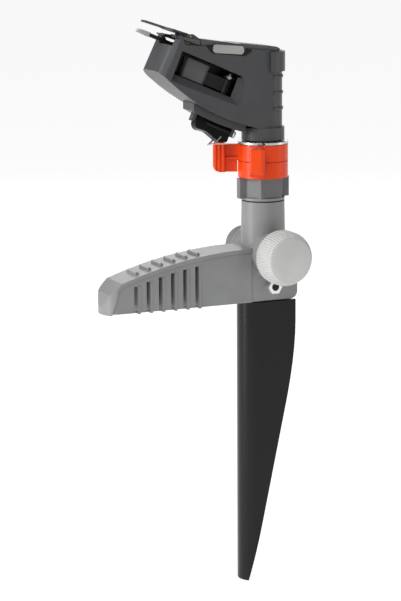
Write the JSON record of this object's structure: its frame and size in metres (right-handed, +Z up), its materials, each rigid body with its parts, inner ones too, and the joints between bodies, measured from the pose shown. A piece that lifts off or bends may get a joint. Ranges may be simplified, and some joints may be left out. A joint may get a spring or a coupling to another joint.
{
  "type": "impact sprinkler",
  "caption": "Impact sprinkler on a ground spike, with a turning hammer-driven head, orange sector rings, a foot plate and a knurled end cap on the spare hose port.",
  "frame": {"origin": "on the head's turning axis at the ground line, where the spike leaves the foot plate", "axes": "+Z up along the turning axis, -X along the foot plate and the jet, +Y out of the hose inlet"},
  "size_m": [0.1407, 0.077, 0.3907],
  "materials": {
    "grey_plastic": "moulded mid grey, fine satin",
    "dark_plastic": "moulded dark grey, fine satin",
    "cover_plastic": "moulded grey, satin",
    "black_plastic": "moulded black, semi gloss",
    "orange_plastic": "moulded orange, semi gloss",
    "cap_plastic": "moulded pale grey, satin",
    "badge_white": "printed plate, left blank",
    "steel": "spring and sheet steel",
    "zinc": "bright zinc plated",
    "brass": "turned",
    "rubber": "black sealing rubber",
    "washer_plastic": "low-friction washers",
    "tip_plastic": "moulded light grey"
  },
  "bodies": {
    "root": {"base_body": "grey_plastic", "ground_spike": "black_plastic", "spike_bolt": "black_plastic", "spike_nut": "zinc", "inlet_filter": "black_plastic", "riser_o_ring": "rubber", "seat_washer": "grey_plastic", "swivel_nut": "grey_plastic", "bearing_sleeve": "brass", "retaining_ring": "steel"},
    "cap_seal": {"end_cap_seal": "rubber"},
    "cap": {"end_cap": "cap_plastic"},
    "lower_ring": {"lower_sector_ring": "orange_plastic"},
    "upper_ring": {"upper_sector_ring": "orange_plastic"},
    "head": {"spindle_tube": "brass", "spindle_washers": "washer_plastic", "bearing_spring": "steel", "head_housing": "dark_plastic", "head_cover": "cover_plastic", "rear_cap": "dark_plastic", "badge_surround": "black_plastic", "badge_plate": "badge_white", "jet_tube": "black_plastic", "nozzle": "brass", "housing_screws": "steel", "hammer_pin": "steel", "hammer_spring": "steel", "flap_pin": "steel", "trip_bracket": "cover_plastic", "trip_pin": "steel", "trip_spring": "steel"},
    "hammer": {"hammer_arm": "black_plastic", "hammer_tip": "tip_plastic", "hammer_weight": "tip_plastic"},
    "flap": {"jet_flap": "steel"},
    "trip": {"trip_lever": "black_plastic"},
    "bail": {"trip_bail": "steel"}
  },
  "joints": [
    {"name": "head_turn", "type": "hinge", "parent": "root", "child": "head", "pos_m": [0, 0, 0.1], "axis": [0, 0, 1], "continuous": true},
    {"name": "lower_ring_turn", "type": "hinge", "parent": "root", "child": "lower_ring", "pos_m": [0, 0, 0.09], "axis": [0, 0, 1], "range_deg": [-28, 126]},
    {"name": "upper_ring_turn", "type": "hinge", "parent": "root", "child": "upper_ring", "pos_m": [0, 0, 0.102], "axis": [0, 0, 1], "range_deg": [-126, 28]},
    {"name": "hammer_swing", "type": "hinge", "parent": "head", "child": "hammer", "pos_m": [-0.027, 0, 0.1481], "axis": [0.3907, 0, 0.9205], "range_deg": [0, 12], "stiffness_Nm_per_rad": 0.02, "springref_deg": -8.59},
    {"name": "flap_tilt", "type": "hinge", "parent": "head", "child": "flap", "pos_m": [-0.0576, 0, 0.1822], "axis": [0, -1, 0], "range_deg": [-6, 8]},
    {"name": "trip_flip", "type": "hinge", "parent": "head", "child": "trip", "pos_m": [-0.037, 0, 0.1212], "axis": [0.9135, 0, -0.4067], "range_deg": [0, 26]},
    {"name": "bail_fold", "type": "hinge", "parent": "trip", "child": "bail", "pos_m": [-0.03447, -0.00142, 0.11336], "axis": [-0.0915, 0.9744, -0.2055], "range_deg": [0, 35]},
    {"name": "cap_advance", "type": "slide", "parent": "root", "child": "cap_seal", "axis": [0, -1, 0], "range_m": [0, 0.00724]},
    {"name": "cap_turn", "type": "hinge", "parent": "cap_seal", "child": "cap", "pos_m": [0, -0.035, 0.0336], "axis": [0, -1, 0], "range_deg": [0, 1440]}
  ],
  "couplings": [
    {"joint": "cap_advance", "follows": "cap_turn", "m_per_rad": 0.00028807}
  ]
}
